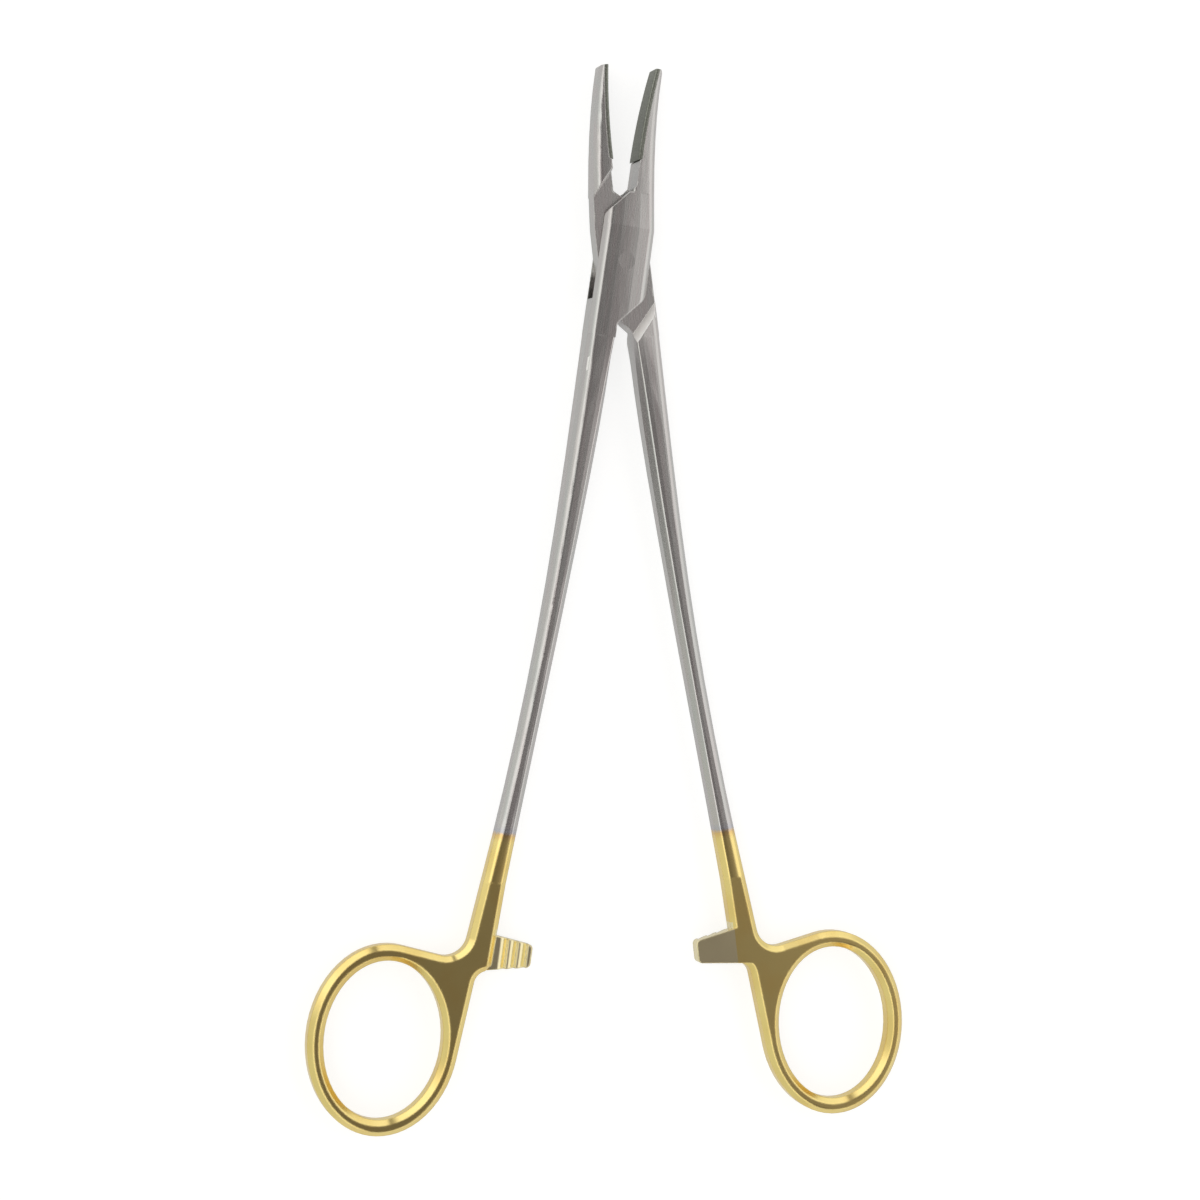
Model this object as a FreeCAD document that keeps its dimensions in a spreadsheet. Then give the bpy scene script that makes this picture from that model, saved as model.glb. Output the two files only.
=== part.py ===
import FreeCAD, Part
import Sketcher
import math
import os

V = FreeCAD.Vector
doc = FreeCAD.newDocument("needle_holder")
sheet = doc.addObject("Spreadsheet::Sheet", "sizes")

# Driving dimensions, in millimetres and degrees.
# Each half is described closed, with the pivot at 0, the jaws up (+Y) and the mid plane at z = 0.
SIZES = {
    # how far the instrument stands open at rest, from jaw face to jaw face
    "opening_angle": 14.5,
    # box lock
    "box_half_width": 5.0,
    "box_thickness": 6.6,
    "box_bevel": 0.8,
    "box_shoulder": 6.5,
    "box_top": 13.0,
    "waist_thickness": 3.2,
    "lock_clearance": 0.06,
    "waist_swing_radius": 5.1,
    "box_land": 3.7,
    "wall_distance_above": 9.4,
    "wall_distance_below": 7.8,
    "wall_corner_radius": 4.5,
    "wall_slope": 48.0,
    "slot_end_outer": 7.9,
    "slot_end_inner": 13.6,
    "slot_end_clearance": 0.35,
    "waist_flare": 1.4,
    "crotch_radius": 1.1,
    "shoulder_distance": 12.2,
    "shoulder_run": 0.5,
    "ramp_distance": 9.2,
    "ramp_run": 1.4,
    # pivot pin, riveted in the slotted half and running in the waist
    "pin_diameter": 3.2,
    "pin_clearance": 0.03,
    # jaws
    "jaw_length": 36.7,
    "jaw_root_width": 4.3,
    "jaw_tip_width": 1.6,
    "jaw_tip_thickness": 4.5,
    "jaw_bevel": 0.6,
    "jaw_grip_bevel": 0.2,
    "jaw_tip_land": 2.2,
    "jaw_tip_slope": 9.0,
    "jaw_tip_radius": 1.1,
    "jaw_line_shift": -0.22,
    "jaw_bend_radius": 120.0,
    "jaw_gap": 0.12,
    "jaw_relief": 0.3,
    # carbide inserts brazed into the jaws
    "insert_length": 17.6,
    "insert_depth": 0.75,
    "insert_end_slant": 0.35,
    # handles
    "handle_thickness": 4.1,
    "handle_bevel": 1.0,
    "neck_inner_bevel": 0.12,
    "outer_bevel": 0.85,
    "inner_bevel": 0.9,
    # crowned faces and the rounding where they meet their bevels
    "crown_slope": 5.0,
    "outer_rounding": 1.1,
    "inner_rounding": 0.35,
    # finger ring and web
    "ring_across": 25.7,
    "ring_below": 148.9,
    "ring_half_length": 14.65,
    "ring_half_width": 11.22,
    "ring_lean": -2.95,
    "ring_bar": 3.04,
    # corners of the web, measured inwards and upwards from the ring's centre
    "web_top_inset": 13.0,
    "web_top_rise": 15.9,
    "web_low_inset": 15.8,
    "web_low_rise": 14.2,
    # ends of the shank: the neck below the pivot, and the handle's end above the ring's centre
    "neck_below": 14.5,
    "handle_rise": 30.9,
    # ratchet arm, its edges measured upwards from the ring's centre
    "arm_upper_root_rise": 21.4,
    "arm_upper_tip_rise": 20.0,
    "arm_lower_tip_rise": 15.8,
    "arm_tip": -0.45,
    "arm_step": 7.3,
    # web fillets and the ratchet's teeth
    "web_top_fillet": 4.2,
    "web_low_fillet": 2.7,
    "arm_band": 0.35,
    "arm_tip_fillet": 0.9,
    "tooth_pitch": 1.93,
    "tooth_width": 1.35,
    "tooth_depth": 0.75,
    "tooth_count": 3,
    "tooth_first": 0.5,
}

# Stations along the shank: distance from the neck, outer and inner edge, thickness, side land.
SHANK = [
    ("neck", 0.0, 5.26, 0.15, 6.6, 3.4),
    ("upper", 15.5, 5.43, 0.35, 5.9, 2.6),
    ("high", 32.5, 5.68, 1.28, 5.0, 2.2),
    ("middle", 50.5, 6.26, 2.49, 4.4, 2.0),
    ("low", 68.5, 7.35, 3.86, 4.1, 1.9),
    ("lower", 86.5, 8.95, 5.28, 4.0, 1.9),
    ("handle", 103.5, 10.89, 6.59, 4.1, 2.1),
]
STATION_FIELDS = ("along", "outer", "inner", "thickness", "land")

# How far a cutting outline reaches past the material that it clears.
OUTSIDE = 0.3
# How far round the pivot the waist keeps to its swing radius, in degrees.
WAIST_ARC = 35.0
# The largest web fillet, as a share of the room that it has beside it.
FILLET_ROOM = 1.1
# The share of a crowned face that is an arc; the rest runs straight to its bevels.
CROWN_SHARE = 0.4
# How much of the room beside it an edge's rounding may take.
EDGE_ROOM = 0.9

for station, *numbers in SHANK:
    for field, number in zip(STATION_FIELDS, numbers):
        SIZES[f"shank_{station}_{field}"] = number

for row, (alias, value) in enumerate(SIZES.items(), start=1):
    sheet.set(f"A{row}", alias)
    sheet.set(f"B{row}", str(value))
    sheet.setAlias(f"B{row}", alias)
doc.recompute()


def size(alias):
    """A driving dimension read back from the sheet."""
    return float(sheet.get(alias))


def plane(body, role):
    """One of a body's own origin planes."""
    return next(item for item in body.Origin.OriginFeatures if item.Role == role)


def sketch(body, name, role, edges, offset=0.0, turn=None):
    """A sketch on an origin plane, moved along the plane's normal by a distance or an expression."""
    drawing = body.newObject("Sketcher::SketchObject", name)
    drawing.AttachmentSupport = [(plane(body, role), "")]
    drawing.MapMode = "FlatFace"
    rotation = turn if turn else FreeCAD.Rotation()
    drawing.AttachmentOffset = FreeCAD.Placement(V(0, 0, 0), rotation)
    if isinstance(offset, str):
        drawing.setExpression("AttachmentOffset.Base.z", offset)
    else:
        drawing.AttachmentOffset.Base.z = offset
    for edge in edges:
        drawing.addGeometry(edge, False)
    return drawing


def lines(points):
    """Straight edges round a closed list of points."""
    ends = points[1:] + points[:1]
    return [Part.LineSegment(V(*a, 0), V(*b, 0)) for a, b in zip(points, ends)]


def rounded_run(points, closed=False):
    """Edges through points (x, y, radius): lines, with an arc where the radius is not 0."""
    corners = [V(x, y, 0) for x, y, _ in points]
    count = len(corners)
    entries = []
    exits = []
    arcs = []
    for index, (here, (_, _, radius)) in enumerate(zip(corners, points)):
        at_end = not closed and index in (0, count - 1)
        if radius == 0 or at_end:
            entries.append(here)
            exits.append(here)
            arcs.append(None)
            continue
        back = (corners[index - 1] - here).normalize()
        ahead = (corners[(index + 1) % count] - here).normalize()
        half_angle = back.getAngle(ahead) / 2
        reach = radius / math.tan(half_angle)
        bisector = (back + ahead).normalize()
        middle = here + bisector * (radius / math.sin(half_angle) - radius)
        entries.append(here + back * reach)
        exits.append(here + ahead * reach)
        arcs.append(Part.Arc(here + back * reach, middle, here + ahead * reach))
    edges = []
    for index in range(count):
        if arcs[index]:
            edges.append(arcs[index])
        if closed or index < count - 1:
            following = entries[(index + 1) % count]
            if exits[index].distanceToPoint(following) > 1e-6:
                edges.append(Part.LineSegment(exits[index], following))
    return edges


def pocket(body, name, drawing, expression):
    """A cut to both sides of its sketch, as deep in all as the expression says."""
    cut = body.newObject("PartDesign::Pocket", name)
    cut.Profile = drawing
    cut.Midplane = True
    cut.setExpression("Length", expression)
    return cut


def pad(body, name, drawing, expression):
    """Material to both sides of its sketch, as thick in all as the expression says."""
    block = body.newObject("PartDesign::Pad", name)
    block.Profile = drawing
    block.Midplane = True
    block.setExpression("Length", expression)
    return block


def loft(body, name, sections, ruled=False):
    """Material through a row of section sketches."""
    form = body.newObject("PartDesign::AdditiveLoft", name)
    form.Profile = sections[0]
    form.Sections = sections[1:]
    form.Ruled = ruled
    return form


class Half:
    """One forging: u runs from the pivot towards its shank, and the jaw lies at -u."""

    def __init__(self, kind, mirror, label):
        self.kind = kind
        self.mirror = mirror
        self.body = doc.addObject("PartDesign::Body", label)
        self.body.Label = label

    def point(self, u, y):
        return (self.mirror * u, y)

    def run(self, points, closed=False):
        return rounded_run([(self.mirror * u, y, radius) for u, y, radius in points], closed)

    def section(self, name, below, high, low, thickness, bevels, land, roundings, crown=None):
        """A cross-section from u = low to high: crowned faces, rounded into bevelled sides."""
        high_flat = high - bevels[0]
        low_flat = low + bevels[1]
        centre, curvature = crown if crown else own_crown(high_flat, low_flat)
        radius = 1 / curvature
        straight = (1 - CROWN_SHARE) * (high_flat - low_flat) / 2
        level = land / 2

        def face(u):
            """How high the crowned face lies above the mid plane."""
            return thickness / 2 - radius + math.sqrt(radius ** 2 - (u - centre) ** 2)

        def side(edge, flat, wanted):
            """One side, from the upper face to the lower one."""
            toward = math.copysign(1, edge - flat)
            start = flat - toward * straight
            drop = face(flat) - level
            slope = math.atan2(face(start) - face(flat), straight)
            turn = math.atan2(drop, abs(edge - flat)) - slope
            room = min(straight, math.hypot(drop, edge - flat))
            rounding = min(wanted, EDGE_ROOM * room / math.tan(turn / 2))
            return self.run([
                (start, face(start), 0),
                (flat, face(flat), rounding),
                (edge, level, 0),
                (edge, -level, 0),
                (flat, -face(flat), rounding),
                (start, -face(start), 0),
            ])

        edges = side(high, high_flat, roundings[0]) + side(low, low_flat, roundings[1])
        for upward in (1, -1):
            stops = (low_flat + straight, (low_flat + high_flat) / 2, high_flat - straight)
            edges.append(Part.Arc(*[V(*self.point(u, upward * face(u)), 0) for u in stops]))
        return sketch(self.body, f"{self.body.Label}_{name}", "XZ_Plane", edges, offset=below)

    def face_line(self, y, depth=0.0):
        """Where the jaw's gripping face lies across, or a surface a depth behind it."""
        start = size("jaw_length") - size("insert_length")
        shift = size("jaw_line_shift")
        behind = size("jaw_gap") / 2 + depth
        if y <= start:
            return self.mirror * shift - behind
        bend = size("jaw_bend_radius")
        own_bend = bend + self.mirror * behind
        return self.mirror * (shift + bend - math.sqrt(own_bend ** 2 - (y - start) ** 2))

    def face_arc(self, y_from, y_to, depth):
        """The bent part of that surface as an arc."""
        stops = (y_from, (y_from + y_to) / 2, y_to)
        return Part.Arc(*[V(*self.point(self.face_line(y, depth), y), 0) for y in stops])

    def jaw_width(self, y):
        root = size("box_top")
        share = (y - root) / (size("jaw_length") - root)
        return size("jaw_root_width") + share * (size("jaw_tip_width") - size("jaw_root_width"))

    def jaw_outer(self, y):
        """The jaw's outer edge across."""
        return self.face_line(y, self.jaw_width(y) - size("jaw_gap") / 2)


def own_crown(high_flat, low_flat):
    """Centre and curvature of a crown that falls off alike to both ends of a face."""
    reach = (high_flat - low_flat) / 2
    return low_flat + reach, math.sin(math.radians(size("crown_slope"))) / reach


def box_crown():
    """The crown of the box, which its necks and the roots of the jaws share."""
    flat = size("box_half_width") - size("box_bevel")
    return own_crown(flat, -flat)


def blend(first, second, share):
    """Numbers a share of the way from the first ones to the second ones."""
    return tuple(a + share * (b - a) for a, b in zip(first, second))


def jaw_thickness(y):
    """The jaw thins evenly from the box's upper end to the tip."""
    level = size("box_shoulder")
    share = max(0.0, (y - level) / (size("jaw_length") - level))
    return size("box_thickness") + share * (size("jaw_tip_thickness") - size("box_thickness"))


def jaw_sections(half):
    """Cross-sections of a whole jaw, made past its gripping face and trimmed to it later."""
    root = size("box_top")
    tip = size("jaw_length")
    past_face = 0.8
    roundings = (size("inner_rounding"), size("outer_rounding"))
    sections = []
    steps = 4
    for step in range(steps):
        share = step / (steps - 1)
        y = root + share * (tip - root)
        land = size("box_land") + share * (size("jaw_tip_land") - size("box_land"))
        bevel = size("box_bevel") + share * (size("jaw_bevel") - size("box_bevel"))
        grip_bevel = past_face + share * size("jaw_grip_bevel")
        face = half.face_line(y)
        high = face + past_face
        low = half.jaw_outer(y)
        tip_curvature = math.sin(math.radians(size("jaw_tip_slope"))) / (face - low - bevel)
        crown = blend(box_crown(), (face, tip_curvature), share)
        sections.append(half.section(f"jaw_section_{step + 1}", -y, high, low, jaw_thickness(y),
                                     (grip_bevel, bevel), land, roundings, crown))
    return sections


def above_ring(alias):
    """How far below the pivot something lies that is measured upwards from the ring's centre."""
    return size("ring_below") - size(alias)


def shank_below(station):
    """How far below the pivot a station of the shank lies."""
    neck = size("neck_below")
    share = size(f"shank_{station}_along") / size("shank_handle_along")
    return neck + share * (above_ring("handle_rise") - neck)


def web_corner(name):
    """How far across and how far below the pivot a corner of the web lies."""
    return size("ring_across") - size(f"web_{name}_inset"), above_ring(f"web_{name}_rise")


def arm_lower_edge(u):
    """How far below the pivot the ratchet arm's lower edge lies, from its tip to the web."""
    tip = size("arm_tip")
    across, below = web_corner("low")
    tip_below = above_ring("arm_lower_tip_rise")
    return tip_below + (u - tip) / (across - tip) * (below - tip_below)


def add_handle(half):
    """Ring and web in one outline, with the ring's hole, bevelled all round on both faces."""
    half_length = size("ring_half_length")
    half_width = size("ring_half_width")
    bar = size("ring_bar")
    centre = V(size("ring_across"), -size("ring_below"), 0)
    lean = math.radians(90 - size("ring_lean"))
    along = V(-math.cos(lean), math.sin(lean), 0)
    across = V(-math.sin(lean), -math.cos(lean), 0)

    def ellipse_point(angle, grow):
        return (centre + along * ((half_length + grow) * math.cos(angle))
                + across * ((half_width + grow) * math.sin(angle)))

    def tangent_angle(u, below, side):
        """Where a line from a point outside touches the ring's outer ellipse."""
        away = V(u, -below, 0) - centre
        scaled_along = away.dot(along) / (half_length + bar)
        scaled_across = away.dot(across) / (half_width + bar)
        reach = math.hypot(scaled_along, scaled_across)
        return math.atan2(scaled_across, scaled_along) + side * math.acos(1 / reach)

    top = web_corner("top")
    low = web_corner("low")
    top_angle = tangent_angle(*top, -1)
    low_angle = tangent_angle(*low, 1)
    top_touch = ellipse_point(top_angle, bar)
    low_touch = ellipse_point(low_angle, bar)
    end = shank_below("handle")
    step = size("arm_step")
    step_corner = (step, -arm_lower_edge(step), 0)
    low_fillet = min(size("web_low_fillet"), FILLET_ROOM * (low[0] - step))
    web = half.run([
        (low_touch.x, low_touch.y, 0),
        (low[0], -low[1], low_fillet),
        step_corner,
        (size("shank_handle_inner"), -end, 0),
        (size("shank_handle_outer"), -end, 0),
        (top[0], -top[1], size("web_top_fillet")),
        (top_touch.x, top_touch.y, 0),
    ])

    def mirrored(point):
        return V(half.mirror * point.x, point.y, 0)

    def ellipse(grow):
        return Part.Ellipse(mirrored(ellipse_point(0, grow)),
                            mirrored(ellipse_point(math.pi / 2, grow)), mirrored(centre))

    outer = ellipse(bar)
    ends = [outer.parameter(mirrored(touch)) for touch in (low_touch, top_touch)]
    ring = Part.ArcOfEllipse(outer, *ends)
    drawing = sketch(half.body, f"{half.kind}_handle_outline", "XY_Plane", web + [ring, ellipse(0)])
    blank = pad(half.body, f"{half.kind}_handle", drawing, "sizes.handle_thickness")
    doc.recompute()

    level = size("handle_thickness") / 2
    rims = []
    for number, edge in enumerate(blank.Shape.Edges, start=1):
        on_face = all(abs(abs(vertex.Z) - level) < 1e-6 for vertex in edge.Vertexes)
        at_end = all(abs(vertex.Y + end) < 1e-6 for vertex in edge.Vertexes)
        if on_face and not at_end:
            rims.append(f"Edge{number}")
    bevel = half.body.newObject("PartDesign::Chamfer", f"{half.kind}_handle_bevel")
    bevel.Base = (blank, rims)
    bevel.setExpression("Size", "sizes.handle_bevel")
    doc.recompute()
    return bevel


def add_shank(half):
    """The bowed bar from the web up to the box, through its stations."""
    roundings = (size("outer_rounding"), size("inner_rounding"))
    sections = []
    stations = [row[0] for row in SHANK]
    for station in stations:
        outer, inner, thickness, land = (
            size(f"shank_{station}_{field}") for field in STATION_FIELDS[1:])
        outer_bevel = size("outer_bevel")
        inner_bevel = size("inner_bevel")
        crown = None
        if station == stations[0]:
            outer_bevel = size("box_bevel")
            inner_bevel = size("neck_inner_bevel")
            crown = box_crown()
        if station == stations[-1]:
            outer_bevel = inner_bevel = size("handle_bevel")
        sections.append(half.section(
            f"shank_{station}", shank_below(station), outer, inner, thickness,
            (outer_bevel, inner_bevel), land, roundings, crown))
    loft(half.body, f"{half.kind}_shank", sections)


def add_box(half):
    """The blank that the lock is cut from, as wide as both members together."""
    neck = size("neck_below")
    width = size("box_half_width")
    level = size("box_shoulder")
    top = size("box_top")
    bevels = (size("box_bevel"), size("box_bevel"))
    roundings = (size("outer_rounding"), size("outer_rounding"))
    rows = [
        (neck, size("shank_neck_outer"), -width, size("box_thickness")),
        (-level, width, -width, size("box_thickness")),
        (-top, width, half.jaw_outer(top), jaw_thickness(top)),
    ]
    sections = [
        half.section(f"box_section_{number}", below, high, low, thickness, bevels,
                     size("box_land"), roundings, box_crown())
        for number, (below, high, low, thickness) in enumerate(rows, start=1)
    ]
    loft(half.body, f"{half.body.Label}_box", sections, ruled=True)


def add_jaw(half):
    """The jaw blank, from the box's upper end to the tip, with its outer corner rounded."""
    name = half.body.Label
    loft(half.body, f"{name}_jaw", jaw_sections(half))
    tip = size("jaw_length")
    radius = size("jaw_tip_radius")
    outside = 0.1
    reach = 3 * radius
    low = half.jaw_outer(tip - reach) - outside
    corner = half.jaw_outer(tip) - outside
    edges = half.run([
        (low, tip - reach, 0),
        (corner, tip + outside, radius),
        (corner + reach, tip + outside, 0),
        (corner + reach, tip + reach, 0),
        (low - reach, tip + reach, 0),
        (low - reach, tip - reach, 0),
    ], closed=True)
    drawing = sketch(half.body, f"{name}_tip_outline", "XY_Plane", edges)
    pocket(half.body, f"{name}_tip", drawing, "2 * sizes.box_thickness")


def slot_end(across):
    """How far along Y from the pivot an end of the slot lies, across from the centre."""
    inner = size("slot_end_inner")
    return inner - across * (inner - size("slot_end_outer")) / size("box_half_width")


def wall_edge(across, distance):
    """The same for a sloping edge of the slotted half's walls, a distance from the pivot."""
    slope = math.radians(size("wall_slope"))
    return (distance - across * math.sin(slope)) / math.cos(slope)


def lock_outline(half, points, swing_side):
    """Edges through points, started by the waist's swing arc on one side if there is one."""
    if swing_side == 0:
        return half.run(points)
    radius = size("waist_swing_radius")
    stops = []
    for turn in (0, WAIST_ARC / 2, WAIST_ARC):
        angle = math.radians(turn)
        across = swing_side * radius * math.cos(angle)
        stops.append(V(*half.point(across, swing_side * radius * math.sin(angle)), 0))
    end = (half.mirror * stops[-1].x, stops[-1].y, 0)
    return [Part.Arc(*stops)] + half.run([end] + points)


def trim_above(half, start, points, swings):
    """Clears the jaw's side of the blank, its gripping face and the seat of the insert."""
    seat = size("jaw_length") - size("insert_length")
    depth = size("insert_depth")
    seat_back = seat + size("insert_end_slant")
    past = size("jaw_length") + size("jaw_tip_radius")
    far = 3 * size("box_half_width")
    lead = [] if swings else [start]
    edges = lock_outline(half, lead + points + [
        (half.face_line(0, size("jaw_relief")), seat, 0),
        (half.face_line(seat_back, depth), seat_back, 0),
    ], 1 if swings else 0)
    edges.append(half.face_arc(seat_back, past, depth))
    edges += half.run([
        (half.face_line(past, depth), past, 0),
        (far, past, 0),
        (far, start[1], 0),
        start,
    ])
    drawing = sketch(half.body, f"{half.kind}_upper_outline", "XY_Plane", edges)
    pocket(half.body, f"{half.kind}_upper_trim", drawing, "2 * sizes.box_thickness")


def trim_below(half, start, points, swings):
    """Clears the shank's side of the blank, down to where the shank's own inner edge begins."""
    far = -3 * size("box_half_width")
    neck = size("neck_below")
    lead = [] if swings else [start]
    edges = lock_outline(half, lead + points + [
        (size("shank_neck_inner"), -neck, 0),
        (far, -neck, 0),
        (far, start[1], 0),
        start,
    ], -1 if swings else 0)
    drawing = sketch(half.body, f"{half.kind}_lower_outline", "XY_Plane", edges)
    pocket(half.body, f"{half.kind}_lower_trim", drawing, "2 * sizes.box_thickness")


def cut_box(half):
    """The slotted half: walls with sloping edges, and the slot that the waist passes through."""
    side = size("box_half_width") + OUTSIDE
    level = size("box_half_width") / 2
    round_off = size("wall_corner_radius")
    face = half.face_line(0, size("jaw_relief"))
    inner = size("shank_neck_inner")
    above = size("wall_distance_above")
    below = size("wall_distance_below")
    trim_above(half, (side, level, 0), [
        (side, wall_edge(side, above), round_off),
        (face, wall_edge(face, above), 0),
    ], swings=False)
    trim_below(half, (-side, -level, 0), [
        (-side, -wall_edge(side, below), round_off),
        (inner, -wall_edge(-inner, below), size("crotch_radius")),
    ], swings=False)

    far = 2 * size("box_half_width")
    shank_side = inner - OUTSIDE
    jaw_side = face + OUTSIDE
    top = 1.5 * slot_end(0)
    corners = [
        (far, -slot_end(far)),
        (shank_side, -slot_end(shank_side)),
        (shank_side, -top),
        (-far, -top),
        (-far, slot_end(far)),
        (jaw_side, slot_end(-jaw_side)),
        (jaw_side, top),
        (far, top),
    ]
    drawing = sketch(half.body, "slot_outline", "XY_Plane", lines([half.point(*c) for c in corners]))
    pocket(half.body, "slot", drawing, "sizes.waist_thickness + 2 * sizes.lock_clearance")


def cut_waist(half):
    """The waisted half: its outline clears the slot's ends, and both faces are milled down."""
    radius = size("waist_swing_radius")
    flare = size("waist_flare")
    clearance = size("slot_end_clearance")
    trim_above(half, (radius, 0, 0), [
        (flare, slot_end(flare) - clearance, 0),
        (half.face_line(0, size("jaw_relief")), slot_end(0) - clearance, 0),
    ], swings=True)
    trim_below(half, (-radius, 0, 0), [
        (-flare, clearance - slot_end(flare), 0),
        (size("shank_neck_inner"), clearance - slot_end(0), 0),
    ], swings=True)

    waist = size("waist_thickness") / 2
    rise = size("box_thickness") / 2 - waist
    over = 1.5
    shoulder = size("shoulder_distance")
    ramp = size("ramp_distance")
    profile = [
        (-ramp - over * size("ramp_run"), waist + over * rise),
        (-ramp, waist),
        (shoulder - size("shoulder_run"), waist),
        (shoulder + (over - 1) * size("shoulder_run"), waist + over * rise),
    ]
    edges = lines(profile) + lines([(along, -z) for along, z in profile])
    turn = FreeCAD.Rotation(V(0, 1, 0), 90 + size("wall_slope"))
    drawing = sketch(half.body, "waist_profile", "XZ_Plane", edges, turn=turn)
    pocket(half.body, "waist", drawing, "10 * sizes.box_half_width")


def add_arm(half, level):
    """The ratchet arm, half as thick as the web, with its teeth on the face at the mid plane."""
    tip = size("arm_tip")
    upper_root = above_ring("arm_upper_root_rise")
    lower_tip = above_ring("arm_lower_tip_rise")
    rounding = size("arm_tip_fillet")
    low_root = web_corner("low")[0] + size("handle_bevel") / 2
    up_root = size("arm_step") + size("handle_bevel") + OUTSIDE
    edges = half.run([
        (tip, -lower_tip, rounding),
        (tip, -above_ring("arm_upper_tip_rise"), rounding),
        (up_root, -upper_root, 0),
        (low_root, -arm_lower_edge(low_root), 0),
    ], closed=True)
    middle = f"{level} * (sizes.handle_thickness / 2 - sizes.arm_band) / 2"
    drawing = sketch(half.body, f"{half.kind}_arm_outline", "XY_Plane", edges, offset=middle)
    pad(half.body, f"{half.kind}_arm", drawing, "sizes.handle_thickness / 2 + sizes.arm_band")

    face = -level * size("arm_band")
    over = -level * OUTSIDE
    first = size("tooth_first")
    width = size("tooth_width")
    depth = level * size("tooth_depth")
    groove = [
        (first, face + over),
        (first, face + depth),
        (first + width, face),
        (first + width, face + over),
    ]
    middle = (upper_root + lower_tip) / 2
    drawing = sketch(half.body, f"{half.kind}_groove_outline", "XZ_Plane",
                     lines([half.point(*corner) for corner in groove]), offset=middle)
    cut = pocket(half.body, f"{half.kind}_groove", drawing, "3 * sizes.handle_thickness")
    teeth = half.body.newObject("PartDesign::LinearPattern", f"{half.kind}_teeth")
    teeth.Originals = [cut]
    teeth.Direction = (plane(half.body, "X_Axis"), [""])
    teeth.Reversed = half.mirror < 0
    teeth.setExpression("Length", "sizes.tooth_pitch * (sizes.tooth_count - 1)")
    teeth.setExpression("Occurrences", "sizes.tooth_count")
    half.body.Tip = teeth


def bore(body, name, expression):
    """A round hole on the pivot axis."""
    drawing = circle(body, f"{name}_outline", expression)
    return pocket(body, name, drawing, "2 * sizes.box_thickness")


def circle(body, name, expression):
    """A circle on the pivot axis whose diameter follows the sheet."""
    drawing = sketch(body, name, "XY_Plane", [Part.Circle(V(0, 0, 0), V(0, 0, 1), 1)])
    drawing.addConstraint(Sketcher.Constraint("Coincident", 0, 3, -1, 1))
    drawing.addConstraint(Sketcher.Constraint("Diameter", 0, 2))
    drawing.setExpression("Constraints[1]", expression)
    return drawing


def make_pin(label):
    """The pivot pin, ground flush with both faces of the box."""
    body = doc.addObject("PartDesign::Body", label)
    body.Label = label
    pad(body, f"{label}_shaft", circle(body, f"{label}_outline", "sizes.pin_diameter"),
        "sizes.box_thickness")
    return body


def make_insert(kind, mirror):
    """A carbide insert: the strip of its jaw that lies between the gripping face and the seat."""
    half = Half(kind, mirror, f"{kind}_jaw_insert")
    add_jaw(half)
    seat = size("jaw_length") - size("insert_length")
    seat_back = seat + size("insert_end_slant")
    depth = size("insert_depth")
    past = size("jaw_length") + size("jaw_tip_radius")
    strip = [half.face_arc(seat, past, 0), half.face_arc(seat_back, past, depth)]
    strip += half.run([(half.face_line(past, 0), past, 0), (half.face_line(past, depth), past, 0)])
    strip += half.run([
        (half.face_line(seat), seat, 0),
        (half.face_line(seat_back, depth), seat_back, 0),
    ])
    far = 3 * size("box_half_width")
    frame = half.run([
        (far, 0, 0),
        (far, past + far, 0),
        (-far, past + far, 0),
        (-far, 0, 0),
    ], closed=True)
    drawing = sketch(half.body, f"{kind}_strip_outline", "XY_Plane", frame + strip)
    pocket(half.body, f"{kind}_strip", drawing, "2 * sizes.box_thickness")
    return half.body


def place(body, mirror):
    """Turns a piece to the open rest position and sets the box's underside at z = 0."""
    body.Placement = FreeCAD.Placement(V(0, 0, 0), FreeCAD.Rotation(V(0, 0, mirror), 1))
    body.setExpression("Placement.Rotation.Angle", "sizes.opening_angle / 2")
    body.setExpression("Placement.Base.z", "sizes.box_thickness / 2")


female = Half("female", -1, "female_half")
male = Half("male", 1, "male_half")
for half in (female, male):
    add_handle(half)
    add_shank(half)
    add_box(half)
    add_jaw(half)
cut_box(female)
cut_waist(male)
bore(female.body, "pin_seat", "sizes.pin_diameter")
bore(male.body, "pin_bore", "sizes.pin_diameter + 2 * sizes.pin_clearance")
add_arm(female, -1)
add_arm(male, 1)

pieces = {
    female.body: -1,
    make_pin("pivot_pin"): -1,
    make_insert("female", -1): -1,
    male.body: 1,
    make_insert("male", 1): 1,
}
for body, mirror in pieces.items():
    place(body, mirror)
doc.recompute()

for item in doc.Objects:
    if "Invalid" in item.State or "Error" in item.State:
        raise RuntimeError(f"{item.Name} did not build: {item.State}")
os.makedirs("parts", exist_ok=True)
for body in pieces:
    if body.Shape.isNull() or not body.Shape.isValid() or len(body.Shape.Solids) != 1:
        raise RuntimeError(f"{body.Label} is not one valid solid")
    body.Shape.exportStep(f"parts/{body.Label}.step")
    box = body.Shape.BoundBox
    print(f"{body.Label}: {body.Shape.Volume:.1f} mm3, z {box.ZMin:.2f} to {box.ZMax:.2f}")
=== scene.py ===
import math

import bpy
from mathutils import Matrix, Vector
from mathutils.bvhtree import BVHTree


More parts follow.
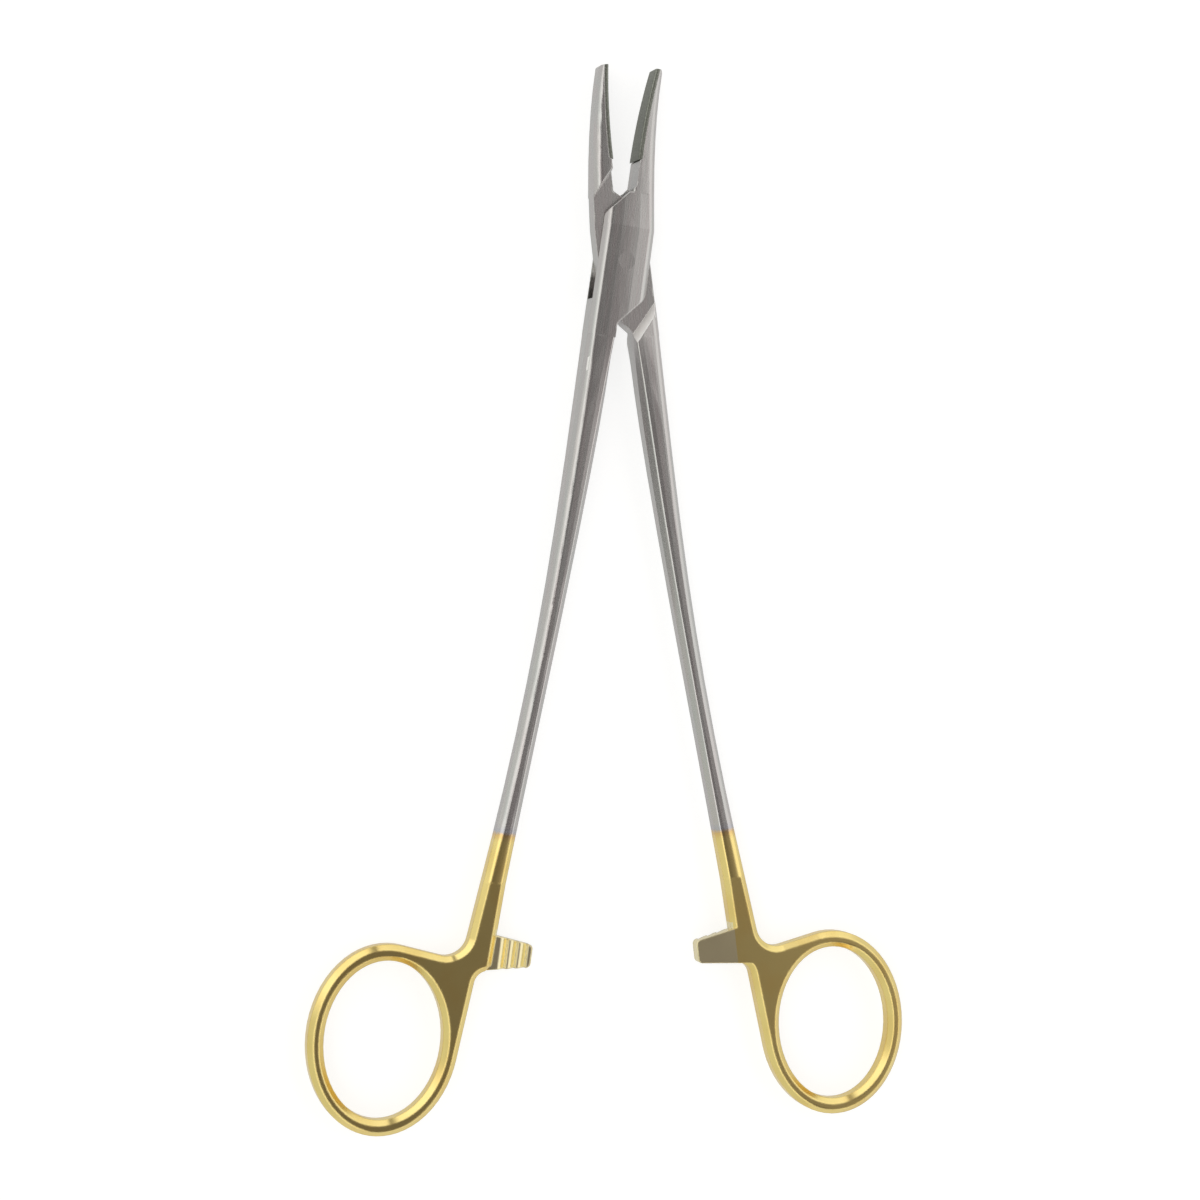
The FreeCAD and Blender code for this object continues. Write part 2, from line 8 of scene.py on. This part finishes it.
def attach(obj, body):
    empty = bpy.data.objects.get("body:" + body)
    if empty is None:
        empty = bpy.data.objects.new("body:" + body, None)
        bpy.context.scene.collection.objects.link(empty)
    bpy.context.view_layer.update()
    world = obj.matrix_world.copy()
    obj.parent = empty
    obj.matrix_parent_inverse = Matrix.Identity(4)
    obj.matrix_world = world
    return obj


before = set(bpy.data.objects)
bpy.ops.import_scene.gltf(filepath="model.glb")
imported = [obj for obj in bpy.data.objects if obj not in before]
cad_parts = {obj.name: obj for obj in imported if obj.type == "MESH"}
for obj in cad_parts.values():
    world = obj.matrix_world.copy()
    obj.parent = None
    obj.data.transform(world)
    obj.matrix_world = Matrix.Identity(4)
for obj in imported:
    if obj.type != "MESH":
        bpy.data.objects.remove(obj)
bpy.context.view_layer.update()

MM = 0.001

# Where the camera looks from: it stands high above the tray, a little to the left.
CAMERA_TARGET = Vector((-3.43, -63.39, 3.3)) * MM
CAMERA_DISTANCE = 529.3 * MM
CAMERA_LEFT = math.radians(17.0)
CAMERA_DOWN = math.radians(1.0)
CAMERA_ROLL = math.radians(0.70)
CAMERA_NEAREST = 0.01
CAMERA_FARTHEST = 10.0
# The sensor's width in millimetres, and how wide a strip the view takes in at the target.
SENSOR_WIDTH = 36.0
VIEW_WIDTH = 225.2 * MM

# Each half is described along its own length: how far it stands turned at rest.
HALF_TURN = math.radians(7.25)
# Where the plating begins below the pivot, how ragged its edge is and how softly it fades.
GOLD_BELOW = 108.8 * MM
GOLD_RAGGED = 1.0 * MM
GOLD_FADE = 0.45 * MM
# How far the tints on both sides of the plating's edge reach, in fades, and how strong they are.
TINT_FADES = 4
HEAT_TINT_SHARE = 0.7
COPPER_TINT_SHARE = 0.8
# Between these heights the lengthwise brushing of the box gives way to the matt speckle of the shanks.
BRUSHING_ENDS = -42 * MM
BRUSHING_FULL = -22 * MM
# The radius that polishing leaves on every edge, and what more it takes off under the plating.
EDGE_BREAK = 0.16 * MM
PLATED_EDGE_BREAK = 0.35 * MM
EDGE_SAMPLES = 6
# Round the pin nothing breaks the surface, so that its end can hardly be seen.
PIN_RADIUS = 1.6 * MM
PIN_CLEAR_FROM = 1.15 * PIN_RADIUS
PIN_CLEAR_TO = 1.4 * PIN_RADIUS
# The lock's edges run across both halves at one slope. They are told apart by their distance
# from the pivot: the walls' two edges, the shoulder of the jaw, and the milled ramp up to the shank.
LOCK_SLOPE = math.radians(48)
LOCK_EDGES = (9.4 * MM, -7.8 * MM, 12.3 * MM)
LOCK_EDGE_REACH = 0.6 * MM
LOCK_EDGE_INNER = 0.8 * LOCK_EDGE_REACH
LOCK_EDGE_BREAK = 0.28 * MM
RAMP_START = -9.1 * MM
RAMP_END = -10.8 * MM
# The ramp's facets are the ones whose normal leans this much: the share of it that is upright.
RAMP_STEEPEST = 0.57
RAMP_FLATTEST = 0.72
# The ratchet's arms, where the plating's colour is made paler.
ARM_BELOW = 126.5 * MM
ARM_REACH = 7.4 * MM

STEEL = (0.60, 0.585, 0.575)
STEEL_COOL = (0.555, 0.565, 0.55)
STEEL_WARM = (0.585, 0.545, 0.54)
STREAK_SHARE = 0.9
# The near-white colour of the painted highlight on the ramp's facets, far brighter than the steel.
RAMP_PAINTED_HIGHLIGHT = (0.92, 0.905, 0.89)
HEAT_TINT = (0.50, 0.50, 0.56)
GOLD = (0.95, 0.76, 0.30)
GOLD_DEEP = (0.90, 0.68, 0.245)
# A paler gold, used on the ratchet's arms.
GOLD_PALE = (0.93, 0.83, 0.52)
COPPER_TINT = (0.78, 0.50, 0.22)
CARBIDE = (0.20, 0.21, 0.18)
CARBIDE_PALE = (0.30, 0.31, 0.275)

# How finely each pattern repeats across, along and through a half, per metre.
STREAKS = (9000.0, 260.0, 9000.0)
BANDS = (1300.0, 22.0, 500.0)
SPECKLE = (2600.0, 2600.0, 2600.0)
CLOUD = (170.0, 110.0, 170.0)
SINTER = (3200.0, 3200.0, 3200.0)
PLAIN_DETAIL = 2.0
FINE_DETAIL = 3.0
# The stretch of a pattern's values over which its two colours change places.
BAND_CHANGE = (0.35, 0.65)
CLOUD_CHANGE = (0.4, 0.7)
SINTER_CHANGE = (0.35, 0.7)

# Roughness: the least of it, and what the metal's pattern adds.
STEEL_ROUGH = (0.20, 0.12)
GOLD_ROUGH = (0.10, 0.10)
CARBIDE_ROUGH = (0.28, 0.20)
# What the ramp's painted highlight adds to the roughness, so that it spreads wider.
RAMP_HIGHLIGHT_ROUGH = 0.2
# The relief of the grain, and how much of it the plating fills.
RELIEF_DEPTH = 0.02 * MM
RELIEF_STRENGTH = 0.4
PLATING_FILLS = 0.8

# The cross-cut grip on the carbide faces.
GRIP_PITCH = 0.5 * MM
GRIP_HEIGHT = 0.05 * MM
GRIP_MARGIN = 0.12 * MM
GRIP_STEP = GRIP_PITCH / 4
# Each pyramid's foot, as a share of its height, and how blunt its tip is.
GRIP_FOOT = 0.2
GRIP_BLUNT = 1.5
# A gripping face is found by how squarely it faces the other jaw, and its width near its two ends.
GRIP_FACING = 0.9
GRIP_END = 0.3 * MM
# How far in front of the face its surface is looked for.
GRIP_AHEAD = 5 * MM

FLOOR_REACH = 1.5
FLOOR_PAINT = (0.36, 0.36, 0.355, 1.0)
# What the floor adds to its paint's own light, to the camera and in the metal's reflections.
FLOOR_SEEN = 0.78
FLOOR_MIRRORED = 0.45
WHITE = (1.0, 1.0, 1.0, 1.0)

# The studio's light, from the left at -90 degrees over the ceiling at 0 to the right at 90.
STUDIO = (
    (-90, (0.66, 0.68, 0.63)),
    (-60, (0.74, 0.76, 0.72)),
    (-46, (1.30, 1.30, 1.25)),
    (-24, (1.40, 1.38, 1.34)),
    (-13, (0.40, 0.38, 0.37)),
    (-5, (0.15, 0.141, 0.139)),
    (10, (0.155, 0.143, 0.141)),
    (19, (0.235, 0.218, 0.214)),
    (25, (0.50, 0.475, 0.465)),
    (31, (1.08, 1.05, 1.03)),
    (60, (1.06, 1.05, 1.03)),
    (90, (0.98, 0.98, 0.95)),
)
# How far the pattern of the studio leans to one side towards the jaws' end, in radians.
STUDIO_LEAN = 0.35
# A soft window low at the upper left, and how far from its middle it starts and is full.
WINDOW_TOWARDS = Vector((-0.65, 0.75, 0.25)).normalized()
WINDOW_STARTS = math.radians(42)
WINDOW_FULL = math.radians(18)
WINDOW_LIGHT = (1.22, 1.21, 1.18)


class Nodes:
    """A small helper that adds shader nodes and joins them."""

    def __init__(self, tree):
        self.tree = tree

    def add(self, kind, inputs=(), **settings):
        node = self.tree.nodes.new(kind)
        for name, value in settings.items():
            setattr(node, name, value)
        for name, value in dict(inputs).items():
            self.feed(node.inputs[name], value)
        return node

    def feed(self, socket, value):
        if isinstance(value, bpy.types.NodeSocket):
            self.tree.links.new(value, socket)
        else:
            socket.default_value = value

    def math(self, operation, first, second=0.0, clamp=False):
        return self.add("ShaderNodeMath", {0: first, 1: second},
                        operation=operation, use_clamp=clamp).outputs[0]

    def plus(self, first, second):
        return self.math("ADD", first, second)

    def times(self, first, second):
        return self.math("MULTIPLY", first, second)

    def rest_of(self, share):
        """What a share leaves of 1."""
        return self.math("SUBTRACT", 1.0, share)

    def spread(self, pattern, least, more):
        """A value that starts at least and grows by more where the pattern is 1."""
        return self.plus(self.times(pattern, more), least)

    def between(self, value, low, high):
        """0 where a value is at low, 1 where it is at high, and a smooth way between."""
        return self.add("ShaderNodeMapRange", {"Value": value, "From Min": low, "From Max": high},
                        interpolation_type="SMOOTHSTEP").outputs[0]

    def within(self, value, low, high):
        """1 where a value lies between two limits, and 0 elsewhere."""
        return self.times(self.math("GREATER_THAN", value, low), self.math("LESS_THAN", value, high))

    def split(self, vector):
        """The X, Y and Z of a vector."""
        return self.add("ShaderNodeSeparateXYZ", {"Vector": vector}).outputs

    def ramp(self, factor, stops):
        """A ramp through (position, colour) stops."""
        node = self.add("ShaderNodeValToRGB", {"Fac": factor})
        elements = node.color_ramp.elements
        while len(elements) < len(stops):
            elements.new(0.5)
        for element, (position, colour) in zip(elements, stops):
            element.position = position
            element.color = (*colour, 1.0)
        return node.outputs["Color"]

    def mix(self, factor, first, second):
        """A blend of two colours, each a plain one or a socket."""
        node = self.add("ShaderNodeMix", data_type="RGBA")
        colours = [(*value, 1.0) if isinstance(value, tuple) else value for value in (first, second)]
        for name, value in zip(("Factor_Float", "A_Color", "B_Color"), (factor, *colours)):
            self.feed(next(item for item in node.inputs if item.identifier == name), value)
        return next(item for item in node.outputs if item.identifier == "Result_Color")

    def noise(self, place, scale, detail=PLAIN_DETAIL):
        """Noise from 0 to 1, with its own scale along each axis."""
        stretched = self.add("ShaderNodeMapping", {"Vector": place, "Scale": scale}).outputs[0]
        return self.add("ShaderNodeTexNoise", {
            "Vector": stretched, "Scale": 1.0, "Detail": detail}).outputs["Fac"]

    def along_half(self, turn):
        """Object coordinates turned so that Y runs along a half's own length."""
        place = self.add("ShaderNodeTexCoord").outputs["Object"]
        return self.add("ShaderNodeMapping", {"Vector": place, "Rotation": (0.0, 0.0, -turn)}).outputs[0]

    def metal(self, colour, rough, relief, edge_break=EDGE_BREAK):
        """A metal surface with its edges broken and a fine relief."""
        edges = self.add("ShaderNodeBevel", {"Radius": edge_break}, samples=EDGE_SAMPLES).outputs[0]
        bump = self.add("ShaderNodeBump", {
            "Height": relief, "Strength": RELIEF_STRENGTH, "Distance": RELIEF_DEPTH,
            "Normal": edges}).outputs[0]
        shader = self.add("ShaderNodeBsdfPrincipled", {
            "Base Color": colour, "Roughness": rough, "Normal": bump, "Metallic": 1.0}).outputs[0]
        self.add("ShaderNodeOutputMaterial", {"Surface": shader})


def new_material(name):
    material = bpy.data.materials.new(name)
    material.use_nodes = True
    material.node_tree.nodes.clear()
    return material, Nodes(material.node_tree)


def plated_steel(name, turn):
    """Ground steel with lengthwise streaks, polished gold plating below its boundary, and a painted
    highlight on the lock's ramp.
    """
    material, nodes = new_material(name)
    along = nodes.along_half(turn)
    height = nodes.split(along)["Y"]
    streaks = nodes.noise(along, STREAKS, FINE_DETAIL)
    speckle = nodes.noise(along, SPECKLE, FINE_DETAIL)
    cloud = nodes.noise(along, CLOUD)

    below = nodes.plus(height, nodes.times(nodes.math("SUBTRACT", speckle, 0.5), GOLD_RAGGED))
    plated = nodes.between(below, -GOLD_BELOW + GOLD_FADE, -GOLD_BELOW - GOLD_FADE)
    across_lock = lock_distance(nodes, along)
    # The ramp's facets, which get a painted highlight.
    ramp_highlight = painted_ramp_highlight(nodes, across_lock)

    steel = steel_colour(nodes, along, streaks, below)
    gold = gold_colour(nodes, along, cloud, below)
    # The ramp's facets are painted near-white: a painted highlight.
    colour = nodes.mix(ramp_highlight, nodes.mix(plated, steel, gold), RAMP_PAINTED_HIGHLIGHT)

    brushed = nodes.between(height, BRUSHING_ENDS, BRUSHING_FULL)
    grain = nodes.plus(nodes.times(streaks, brushed), nodes.times(speckle, nodes.rest_of(brushed)))
    rough = nodes.plus(nodes.times(nodes.spread(grain, *STEEL_ROUGH), nodes.rest_of(plated)),
                       nodes.times(nodes.spread(cloud, *GOLD_ROUGH), plated))
    # The painted highlight on the ramp is also rougher.
    rough = nodes.plus(rough, nodes.times(ramp_highlight, RAMP_HIGHLIGHT_ROUGH))
    relief = nodes.times(grain, nodes.rest_of(nodes.times(plated, PLATING_FILLS)))
    nodes.metal(colour, rough, relief, edge_radius(nodes, along, across_lock, plated))
    return material


def steel_colour(nodes, along, streaks, below):
    """Cool and warm bands under fine streaks, tinted by heat just above the plating."""
    tone = nodes.between(nodes.noise(along, BANDS), *BAND_CHANGE)
    steel = nodes.mix(tone, STEEL_COOL, STEEL_WARM)
    steel = nodes.mix(nodes.times(streaks, STREAK_SHARE), steel, STEEL)
    near_edge = nodes.between(below, -GOLD_BELOW + TINT_FADES * GOLD_FADE, -GOLD_BELOW)
    return nodes.mix(nodes.times(near_edge, HEAT_TINT_SHARE), steel, HEAT_TINT)


def gold_colour(nodes, along, cloud, below):
    """Clouded gold, coppery at its upper edge and paler on the ratchet's arms."""
    gold = nodes.mix(nodes.between(cloud, *CLOUD_CHANGE), GOLD, GOLD_DEEP)
    just_below = nodes.between(below, -GOLD_BELOW - TINT_FADES * GOLD_FADE, -GOLD_BELOW)
    gold = nodes.mix(nodes.times(just_below, COPPER_TINT_SHARE), gold, COPPER_TINT)
    return nodes.mix(on_arm(nodes, along), gold, GOLD_PALE)


def on_arm(nodes, along):
    """1 on the ratchet's arms."""
    place = nodes.split(along)
    across = nodes.math("ABSOLUTE", place["X"])
    return nodes.times(nodes.math("LESS_THAN", place["Y"], -ARM_BELOW),
                       nodes.math("LESS_THAN", across, ARM_REACH))


def lock_distance(nodes, along):
    """How far from the pivot a point lies, measured square to the lock's sloping edges."""
    place = nodes.split(along)
    return nodes.math("SUBTRACT", nodes.times(place["Y"], math.cos(LOCK_SLOPE)),
                      nodes.times(place["X"], math.sin(LOCK_SLOPE)))


def painted_ramp_highlight(nodes, across_lock):
    """1 where a painted highlight goes: on the ramp between the waist and its shank, on both faces."""
    normal = nodes.add("ShaderNodeNewGeometry").outputs["True Normal"]
    upright = nodes.math("ABSOLUTE", nodes.split(normal)["Z"])
    return nodes.times(nodes.within(across_lock, RAMP_END, RAMP_START),
                       nodes.within(upright, RAMP_STEEPEST, RAMP_FLATTEST))


def edge_radius(nodes, along, across_lock, plated):
    """The polished radius of the edges: larger on the lock and under the plating, none at the pin."""
    flat = nodes.add("ShaderNodeVectorMath", {0: along, 1: (1.0, 1.0, 0.0)},
                     operation="MULTIPLY").outputs[0]
    from_pin = nodes.add("ShaderNodeVectorMath", {0: flat}, operation="LENGTH").outputs["Value"]
    radius = nodes.times(nodes.between(from_pin, PIN_CLEAR_FROM, PIN_CLEAR_TO), EDGE_BREAK)
    for edge in LOCK_EDGES:
        away = nodes.math("ABSOLUTE", nodes.math("SUBTRACT", across_lock, edge))
        near = nodes.between(away, LOCK_EDGE_REACH, LOCK_EDGE_INNER)
        radius = nodes.plus(radius, nodes.times(near, LOCK_EDGE_BREAK))
    return nodes.plus(radius, nodes.times(plated, PLATED_EDGE_BREAK))


def carbide(name, turn):
    """Sintered carbide: darker than the steel, faintly green, ground and speckled."""
    material, nodes = new_material(name)
    sinter = nodes.noise(nodes.along_half(turn), SINTER, FINE_DETAIL)
    colour = nodes.mix(nodes.between(sinter, *SINTER_CHANGE), CARBIDE, CARBIDE_PALE)
    nodes.metal(colour, nodes.spread(sinter, *CARBIDE_ROUGH), sinter)
    return material


def finish_node(node, material):
    """Gives a carried-over solid its material."""
    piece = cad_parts[node]
    for slot in piece.material_slots:
        slot.material = material


def ridge(value):
    """1 on whole numbers and 0 halfway between them."""
    return 2 * abs(value - math.floor(value) - 0.5)


def pyramid(along, across):
    """How high the cross-cut pattern stands at a point of the gripping face."""
    peak = min(ridge((along + across) / GRIP_PITCH), ridge((along - across) / GRIP_PITCH))
    return GRIP_HEIGHT * (GRIP_FOOT + (1 - GRIP_FOOT) * min(1.0, GRIP_BLUNT * peak))


def grip_outline(solid, to_half, outward):
    """Where a gripping face starts and ends, its middle height, and half its width at both ends."""
    corners = {index for polygon in solid.polygons
               if (to_half @ polygon.normal).dot(outward) > GRIP_FACING
               for index in polygon.vertices}
    points = [to_half @ solid.vertices[index].co for index in corners]
    start = min(point.y for point in points)
    end = max(point.y for point in points)
    middle = (min(point.z for point in points) + max(point.z for point in points)) / 2
    half_widths = [max(abs(point.z - middle) for point in points if abs(point.y - place) < GRIP_END)
                   for place in (start, end)]
    return start, end, middle, half_widths


def closed_sheet(rows, columns):
    """The faces of a thin sheet: its top, its back, whose points follow the top's, and its rim."""
    width = columns + 1
    count = (rows + 1) * width
    faces = []
    for row in range(rows):
        for column in range(columns):
            corner = row * width + column
            quad = (corner, corner + 1, corner + width + 1, corner + width)
            faces += [quad, tuple(index + count for index in reversed(quad))]
    rim = ([(column, column + 1) for column in range(columns)]
           + [(row * width + columns, (row + 1) * width + columns) for row in range(rows)]
           + [(rows * width + column + 1, rows * width + column) for column in range(columns)]
           + [((row + 1) * width, row * width) for row in range(rows)])
    return faces + [(after, before, before + count, after + count) for before, after in rim]


def add_grip(name, insert, turn, body, material):
    """The cross-cut grip: rows of small blunt pyramids that stand on an insert's gripping face."""
    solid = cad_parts[insert].data
    outward = Vector((math.copysign(1.0, turn), 0.0, 0.0))
    to_rest = Matrix.Rotation(turn, 3, "Z")
    facing = to_rest @ outward
    surface = BVHTree.FromPolygons([vertex.co for vertex in solid.vertices],
                                   [tuple(polygon.vertices) for polygon in solid.polygons])
    start, end, middle, (first_width, last_width) = grip_outline(solid, to_rest.transposed(), outward)

    length = end - start - 2 * GRIP_MARGIN
    rows = round(length / GRIP_STEP)
    columns = round((2 * min(first_width, last_width) - 2 * GRIP_MARGIN) / GRIP_STEP)
    tops = []
    backs = []
    for row in range(rows + 1):
        share = row / rows
        along = start + GRIP_MARGIN + share * length
        reach = first_width + share * (last_width - first_width) - GRIP_MARGIN
        for column in range(columns + 1):
            across = reach * (2 * column / columns - 1)
            origin = to_rest @ (outward * GRIP_AHEAD + Vector((0.0, along, middle + across)))
            hit = surface.ray_cast(origin, -facing)[0]
            tops.append(hit + facing * pyramid(along, across))
            backs.append(hit - facing * GRIP_HEIGHT)

    faces = closed_sheet(rows, columns)
    if turn > 0:
        faces = [tuple(reversed(face)) for face in faces]
    mesh = bpy.data.meshes.new(name)
    mesh.from_pydata(tops + backs, [], faces)
    mesh.validate()
    mesh.materials.append(material)
    piece = bpy.data.objects.new(name, mesh)
    bpy.context.collection.objects.link(piece)
    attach(piece, body)


def add_floor():
    """A plain white floor that the instrument lies on, bright to the camera and in reflections."""
    mesh = bpy.data.meshes.new("floor")
    corners = [(x * FLOOR_REACH, y * FLOOR_REACH, 0) for x, y in ((-1, -1), (1, -1), (1, 1), (-1, 1))]
    mesh.from_pydata(corners, [], [(0, 1, 2, 3)])
    floor = bpy.data.objects.new("floor", mesh)
    bpy.context.collection.objects.link(floor)
    material, nodes = new_material("floor_white")
    path = nodes.add("ShaderNodeLightPath").outputs
    mirrored = nodes.math("MAXIMUM", path["Is Glossy Ray"], path["Is Transmission Ray"])
    glow = nodes.plus(nodes.times(path["Is Camera Ray"], FLOOR_SEEN),
                      nodes.times(mirrored, FLOOR_MIRRORED))
    paint = nodes.add("ShaderNodeBsdfDiffuse", {"Color": FLOOR_PAINT}).outputs[0]
    light = nodes.add("ShaderNodeEmission", {"Color": WHITE, "Strength": glow}).outputs[0]
    both = nodes.add("ShaderNodeAddShader", {0: paint, 1: light}).outputs[0]
    nodes.add("ShaderNodeOutputMaterial", {"Surface": both})
    mesh.materials.append(material)


def add_world():
    """A soft studio: dark above the instrument, pale at both sides, and a window."""
    world = bpy.data.worlds.new("studio")
    bpy.context.scene.world = world
    world.use_nodes = True
    world.node_tree.nodes.clear()
    nodes = Nodes(world.node_tree)
    direction = nodes.add("ShaderNodeTexCoord").outputs["Generated"]
    towards = nodes.split(direction)
    angle = nodes.math("ARCTAN2", towards["X"], towards["Z"])
    angle = nodes.plus(angle, nodes.times(towards["Y"], STUDIO_LEAN))
    place = nodes.math("ADD", nodes.times(angle, 1 / math.pi), 0.5, clamp=True)
    walls = nodes.ramp(place, [(degrees / 180 + 0.5, light) for degrees, light in STUDIO])

    to_window = nodes.add("ShaderNodeVectorMath", {0: direction, 1: WINDOW_TOWARDS},
                          operation="DOT_PRODUCT").outputs["Value"]
    window = nodes.between(to_window, math.cos(WINDOW_STARTS), math.cos(WINDOW_FULL))
    colour = nodes.mix(window, walls, WINDOW_LIGHT)
    background = nodes.add("ShaderNodeBackground", {"Color": colour, "Strength": 1.0}).outputs[0]
    nodes.add("ShaderNodeOutputWorld", {"Surface": background})


def add_camera():
    """The camera, at the photo's viewing angle and distance."""
    away = Vector((-math.sin(CAMERA_LEFT) * math.cos(CAMERA_DOWN), math.sin(CAMERA_DOWN),
                   math.cos(CAMERA_LEFT) * math.cos(CAMERA_DOWN)))
    upward = Vector((-math.sin(CAMERA_ROLL), math.cos(CAMERA_ROLL), 0.0))
    right = upward.cross(away).normalized()
    up = away.cross(right)
    data = bpy.data.cameras.new("camera")
    data.sensor_width = SENSOR_WIDTH
    data.lens = SENSOR_WIDTH * CAMERA_DISTANCE / VIEW_WIDTH
    data.clip_start = CAMERA_NEAREST
    data.clip_end = CAMERA_FARTHEST
    camera = bpy.data.objects.new("camera", data)
    camera.matrix_world = Matrix.Translation(CAMERA_TARGET + away * CAMERA_DISTANCE) @ Matrix(
        (right, up, away)).transposed().to_4x4()
    bpy.context.collection.objects.link(camera)
    bpy.context.scene.camera = camera


left_steel = plated_steel("plated_steel_left", -HALF_TURN)
right_steel = plated_steel("plated_steel_right", HALF_TURN)
right_carbide = carbide("carbide_right_jaw", -HALF_TURN)
left_carbide = carbide("carbide_left_jaw", HALF_TURN)
finish_node("female_half", left_steel)
finish_node("pivot_pin", left_steel)
finish_node("male_half", right_steel)
finish_node("female_jaw_insert", right_carbide)
finish_node("male_jaw_insert", left_carbide)
add_grip("right_jaw_grip", "female_jaw_insert", -HALF_TURN, "slotted_half", right_carbide)
add_grip("left_jaw_grip", "male_jaw_insert", HALF_TURN, "waisted_half", left_carbide)
add_floor()
add_world()
add_camera()
bpy.context.scene.view_settings.view_transform = "Standard"
